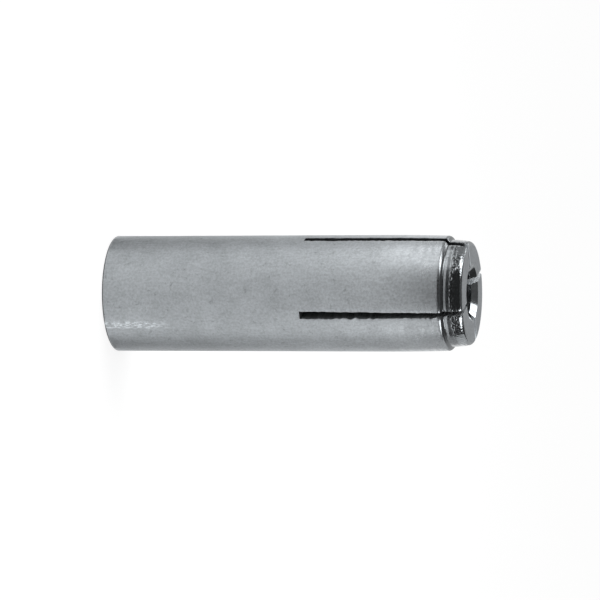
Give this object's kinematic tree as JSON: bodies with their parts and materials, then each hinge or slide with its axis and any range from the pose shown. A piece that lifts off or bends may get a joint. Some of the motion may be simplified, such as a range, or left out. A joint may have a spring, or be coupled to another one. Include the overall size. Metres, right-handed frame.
{
  "type": "drop-in anchor",
  "caption": "Round steel sleeve with a tapped socket at its mouth and a split nose, holding a tapered plug that spreads the nose to lock in a drilled hole.",
  "frame": {"origin": "centre of the mouth rim, on the plane that the anchor stands on", "axes": "+Z along the sleeve's axis from the mouth to the nose; the slots lie in the XZ and YZ planes"},
  "size_m": [0.0126, 0.0126, 0.04],
  "materials": {
    "zinc_plate": "satin",
    "plain_steel": "satin"
  },
  "bodies": {
    "root": {"anchor_sleeve": "zinc_plate", "expander_plug": "plain_steel"}
  },
  "joints": []
}
